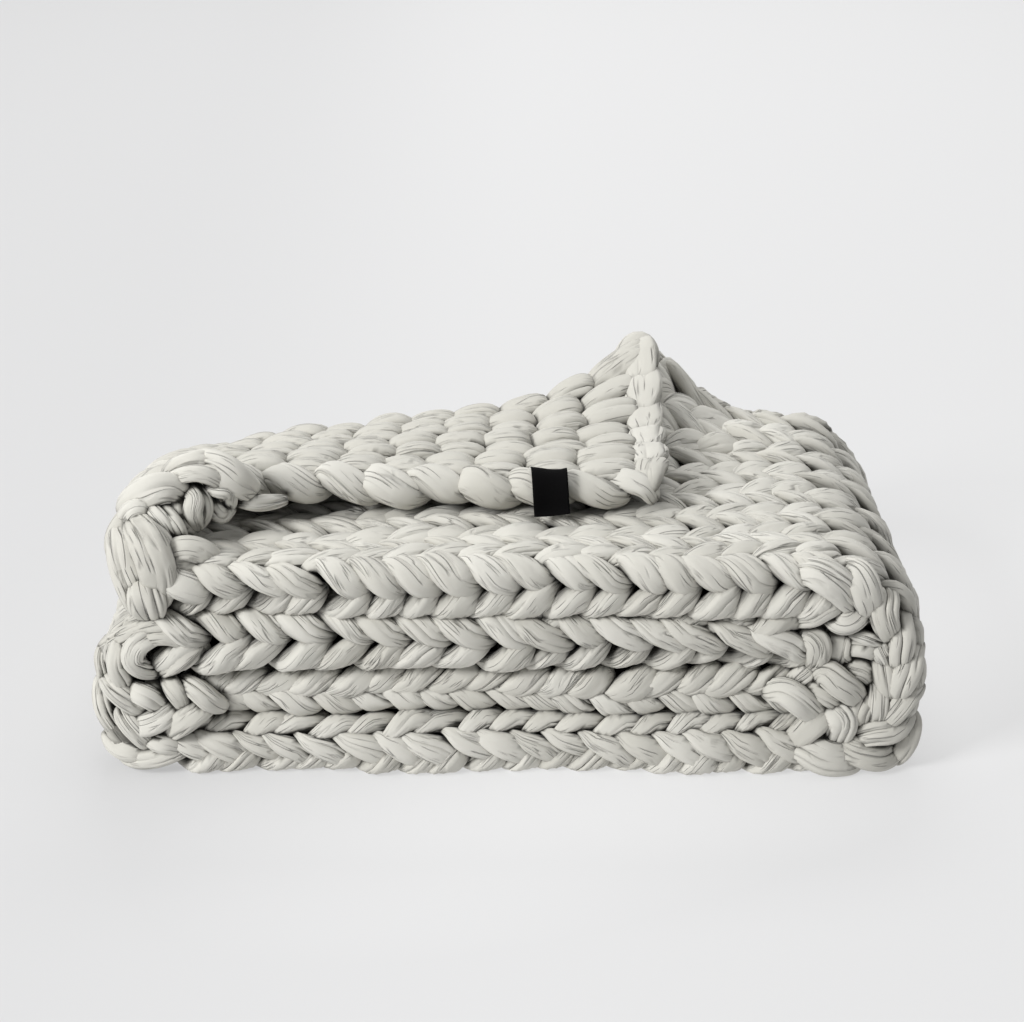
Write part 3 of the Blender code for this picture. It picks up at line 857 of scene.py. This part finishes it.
RIGHT_OUTER = (
    (12, 8, 9, ((191, -136, 148), (201, -145, 152), (210, -149, 150), (220, -149, 143), (228, -144, 132),
        (235, -134, 122))),
    (11, 8, 6, ((224, -128, 149), (231, -140, 150), (235, -147, 146), (239, -148, 136), (242, -144, 126),
        (244, -136, 113))),
    (10, 8, 6, ((252, -126, 134), (253, -140, 131), (251, -147, 124), (253, -147, 114), (258, -138, 99))),
    (9, 8, 6, ((265, -126, 116), (264, -138, 112), (265, -145, 102), (264, -145, 90), (265, -136, 72))),
    (10, 8, 6, ((278, -128, 92), (273, -140, 88), (269, -146, 78), (265, -146, 66), (264, -136, 50))),
    (9, 8, 5, ((282, -130, 61), (273, -141, 59), (266, -146, 52), (260, -145, 43), (254, -138, 32))),
    (10, 7, 6, ((234, -136, 22), (241, -145, 29), (250, -149, 33), (260, -148, 34), (269, -141, 37),
        (275, -132, 41))),
    (8, 8, 5, ((279, -126, 36), (277, -136, 30), (274, -140, 21), (270, -138, 11), (266, -132, 3))),
    (12, 7, 8, ((219, -136, 23), (229, -145, 22), (240, -149, 18), (252, -147, 14), (261, -140, 12),
        (270, -132, 13))),
    (13, 8, 6, ((192, -136, 20), (203, -146, 20), (215, -151, 15), (228, -148, 11), (242, -138, 6))),
)
RIGHT_INNER = (
    (9, 7, 6, ((243, -130, 125), (236, -141, 121), (228, -146, 116), (221, -144, 115), (214, -136, 118))),
    (8, 7, 5, ((193, -136, 111), (203, -144, 118), (212, -145, 125), (220, -141, 127), (228, -134, 127))),
    (5, 6, 4, ((230, -138, 103), (238, -143, 103), (246, -143, 100), (257, -136, 92))),
    (8, 7, 4, ((247, -134, 100), (251, -141, 94), (255, -142, 87), (260, -134, 73))),
    (8, 7, 6, ((252, -134, 88), (253, -142, 81), (255, -145, 72), (258, -143, 60), (260, -134, 45))),
    (8, 7, 6, ((252, -134, 68), (252, -142, 63), (251, -147, 54), (250, -145, 44), (247, -136, 31))),
    (8, 7, 5, ((245, -136, 61), (242, -144, 54), (239, -147, 47), (239, -138, 31))),
    (11, 8, 7, ((219, -136, 51), (223, -145, 47), (227, -149, 42), (226, -145, 30), (224, -136, 16))),
    (10, 7, 6, ((190, -138, 18), (199, -146, 29), (206, -149, 38), (213, -146, 43), (221, -138, 46))),
)
RIGHT_HEART = (
    (8, 7, 6, ((160, -130, 103), (173, -140, 101), (184, -141, 97), (198, -132, 83))),
    (9, 8, 6, ((197, -130, 95), (203, -140, 102), (208, -145, 98), (208, -142, 87), (205, -134, 74))),
    (10, 7, 8, ((224, -124, 104), (222, -136, 98), (220, -139, 89), (216, -130, 73))),
    (9, 8, 4, ((227, -130, 90), (235, -139, 95), (243, -140, 94), (251, -132, 87))),
    (4, 6, 3, ((232, -132, 101), (228, -140, 96), (227, -140, 88), (231, -132, 79))),
    (8, 7, 8, ((225, -130, 79), (233, -138, 77), (241, -140, 75), (250, -132, 63))),
    (7, 6, 5, ((187, -132, 60), (196, -140, 70), (203, -140, 75), (212, -132, 80))),
    (10, 8, 8, ((206, -136, 70), (214, -146, 77), (223, -150, 71), (233, -146, 62), (241, -136, 48))),
    (8, 7, 6, ((198, -134, 62), (208, -143, 63), (218, -145, 58), (230, -136, 46))),
    (10, 8, 9, ((175, -136, 58), (185, -146, 63), (195, -150, 59), (206, -146, 48), (218, -136, 34))),
)
lay_strands("left_end_above", 30, LEFT_TOP)
lay_strands("left_end_roll", 37, LEFT_ROLL)
lay_strands("left_end_middle", 31, LEFT_BEND)
lay_strands("left_end_below", 32, LEFT_LOW)
lay_strands("right_end_outside", 33, RIGHT_OUTER)
lay_strands("right_end_inside", 34, RIGHT_INNER)
lay_strands("right_end_heart", 35, RIGHT_HEART)

# The flap's two free corners. In front a wide, thin length fans out below the cast-off edge, and at
# the back one goes round the raised tip.
CORNER = (
    (9, 4, 9, ((62, -42, 181), (72, -48, 181), (83, -53, 180), (94, -56, 176), (101, -55, 166))),
    (10, 6, 7, ((79, 113, 205), (86, 121, 212), (92, 127, 217), (98, 129, 219), (103, 125, 213),
        (105, 115, 204))),
)
lay_strands("flap_corner", 36, CORNER, facing=(0.0, -0.6, 0.8))

# The tab. A blank black tape, folded over the flap's front edge and sewn in between two stitches.
# TAB_DRAPE is its way down over the edge, seen from the side, from the flap's front and level.
TAB_X, TAB_WIDTH, TAB_THICKNESS = 0.0262, 0.025, 0.0008
TAB_ROWS, TAB_COLUMNS = 40, 14
TAB_SKEW, TAB_TILT = 0.0026, 0.0030  # how far its lower end lies to the right, and is turned
FLAP_FRONT, FLAP_LEVEL = 0.088, 0.175  # the middle of the flap's front edge, as the route has it
Drape = namedtuple("Drape", "y z")
TAB_DRAPE = (
    Drape(0.0120, 0.0150),
    Drape(0.0060, 0.0165),
    Drape(0.0010, 0.0148),
    Drape(-0.0030, 0.0100),
    Drape(-0.0052, 0.0030),
    Drape(-0.0060, -0.0040),
    Drape(-0.0072, -0.0090),
    Drape(-0.0096, -0.0120),
)


def black_tape():
    """Close-woven black tape with a fine rib across it."""
    material, add_node, set_surface = new_material("black_tape")
    uv = add_node("UVMap", uv_map="flat_tape").outputs["UV"]
    warp, weft = (
        add_node("TexWave", {"Vector": uv, "Scale": scale}, bands_direction=direction).outputs["Fac"]
        for direction, scale in (("X", 640), ("Y", 420))
    )
    weave = add_node("Math", {0: warp, 1: weft}, operation="MULTIPLY").outputs["Value"]
    bump = add_node("Bump", {"Strength": 0.5, "Distance": 0.0003, "Height": weave})
    set_surface({"Base Color": (0.0030, 0.0028, 0.0030, 1), "Normal": bump.outputs["Normal"]})
    set_surface({"Roughness": 0.85, "Specular IOR Level": 0.06})
    return material


def woven_tab():
    """Points of the tape's outer face and then its inner one, their places on the flat tape, and
    the tape's length."""
    side_view = smooth_run(TAB_DRAPE, TAB_ROWS)
    step = np.linalg.norm(np.diff(side_view, axis=0), axis=1)
    along = np.concatenate([[0], np.cumsum(step)])
    heading = np.gradient(side_view, axis=0)
    heading /= np.linalg.norm(heading, axis=1, keepdims=True)
    points, flat = [], []
    for face in (0.5, -0.5):
        for (y, z), (run_y, run_z), length in zip(side_view, heading, along):
            for share in np.linspace(-0.5, 0.5, TAB_COLUMNS):
                bow = 0.0006 * sin(5 * share + 50 * length) - 0.0012 * (2 * share) ** 2
                off = bow + face * TAB_THICKNESS
                skew, tilt = TAB_SKEW * length / along[-1], TAB_TILT * share * length / along[-1]
                x = TAB_X + TAB_WIDTH * share + skew
                points.append((x, FLAP_FRONT + y - off * run_z, FLAP_LEVEL + z + off * run_y + tilt))
                flat.append((share * TAB_WIDTH, length))
    return points, flat, along[-1]


points, flat, tab_length = woven_tab()
per_face = TAB_ROWS * TAB_COLUMNS
upper, under = np.arange(2 * per_face).reshape(2, TAB_ROWS, TAB_COLUMNS)
quads = []
for grid in (upper, under[:, ::-1]):
    corners = grid[:-1, :-1], grid[1:, :-1], grid[1:, 1:], grid[:-1, 1:]
    quads.append(np.stack(corners, -1).reshape(-1, 4))
rim = np.concatenate([upper[0], upper[1:, -1], upper[-1, -2::-1], upper[-2:0:-1, 0]])
after = np.roll(rim, -1)
quads.append(np.stack([rim, after, after + per_face, rim + per_face], -1))
mesh = bpy.data.meshes.new("tab")
mesh.from_pydata(settle(np.array(points)).tolist(), [], np.concatenate(quads).tolist())
mesh.shade_smooth()
layer = mesh.uv_layers.new(name="flat_tape")
corners = np.concatenate(quads).ravel()
layer.data.foreach_set("uv", np.array(flat)[corners].astype(np.float32).ravel())
mesh.materials.append(black_tape())
tab = add_object("tab", mesh)
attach(tab, "root")
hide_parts("label")

# Painted shade. Where lengths of yarn press against each other, painted shade darkens the colour in the
# crease
# between them: each point looks outward for other yarn close by, on a fine grid over the stack.
CELL = 0.0018
GRID_MARGIN = 0.012
SHADE_NEAR, SHADE_FAR = 0.0022, 0.0060  # how far outward a point looks
INWARD = (0.12, 0.30, 0.50, 0.75, 1.0)  # shares of the way in to the yarn's middle that are filled
CLEAR = 0.20  # how full the grid is round a point that no other yarn is close to
Deepening = namedtuple("Deepening", "pieces start gain base")
DEEPENINGS = (  # painted shade for pieces whose names start so: crowding past start counts gain times, over base, painted shade all over the piece
    # The right end's pieces, on the side in shade, and the cast-off edge and flap corner get a base of
    # painted shade all over.
    Deepening(("right",), 0.05, 2.5, 0.11),
    Deepening(("left",), 0.06, 2.2, 0),
    Deepening(("second_layer", "bottom_layer", "heart_"), 0.08, 1.8, 0),
    Deepening(("cast_off_edge", "flap_corner"), 0, 1, 0.10),
)


def grid_places(points):
    """Where points lie in the grid, counted in cells."""
    return (points - grid_low) / CELL


def smoothed(values, passes):
    """The grid's values, spread a little to either side along each axis, that many times."""
    for axis in range(3):
        for _ in range(passes):
            values = (np.roll(values, 1, axis) + 2 * values + np.roll(values, -1, axis)) / 4
    return values


def sampled(values, points):
    """The grid's values at points between its cells."""
    places = np.clip(grid_places(points), 0, np.array(values.shape) - 1.001)
    corner = places.astype(int)
    rest = places - corner
    total = 0
    for k in range(8):
        step = np.array([k & 1, k >> 1 & 1, k >> 2])
        weight = np.prod(np.where(step, rest, 1 - rest), axis=1)
        total = total + weight * values[tuple((corner + step).T)]
    return total


def painted_shade_of(name, points, crowded, crevice_shade):
    """How much painted shade a piece's points get, for how crowded they are and how low they lie among other
    yarn.
    """
    # The top layer gets less painted shade, except along its front edge.
    if name.startswith("top_layer"):
        outer = ease(points[:, 1], -0.120, -0.140)
        crowded, crevice_shade = (0.28 + 0.72 * outer) * crowded, (0.6 + 0.4 * outer) * crevice_shade
    # The flap gets some painted shade all over, and more behind its front edge, over its top.
    elif name == "flap":
        behind = ease(points[:, 1], -0.058, -0.042)
        crowded = 0.03 + 0.09 * behind + (2.1 + 1.2 * behind) * crowded
    for row in DEEPENINGS:
        if name.startswith(row.pieces):
            crowded = row.base + row.gain * np.clip(crowded - row.start, 0, None)
    return np.clip(crevice_shade * 0.8 + crowded, 0, 1)


everything = np.concatenate([points for _, points, _ in LAID])
grid_low = everything.min(axis=0) - GRID_MARGIN
grid_shape = np.ceil((everything.max(axis=0) + GRID_MARGIN - grid_low) / CELL).astype(int) + 1
filled = np.zeros(grid_shape, np.float32)
for _, points, centres in LAID:
    for share in INWARD:
        cells = np.round(grid_places(points + (centres - points) * share)).astype(int)
        filled[tuple(cells.T)] = 1
close_by = smoothed(filled, 1)
around = smoothed(close_by, 6)
for made, points, centres in LAID:
    normals = np.empty(len(points) * 3, np.float32)
    made.data.vertices.foreach_get("normal", normals)
    normals = normals.reshape(-1, 3)
    near = sampled(close_by, points + normals * SHADE_NEAR) - CLEAR
    far = sampled(around, points + normals * SHADE_FAR) - CLEAR
    crowded = np.clip(5.0 * near, 0, 0.95) + np.clip(3.0 * far, 0, 0.7)
    crevice_shade = np.empty(len(points), np.float32)
    attribute = made.data.attributes["tucked_in"].data
    attribute.foreach_get("value", crevice_shade)
    shade = painted_shade_of(made.name, points, crowded, crevice_shade)
    attribute.foreach_set("value", shade.astype(np.float32))
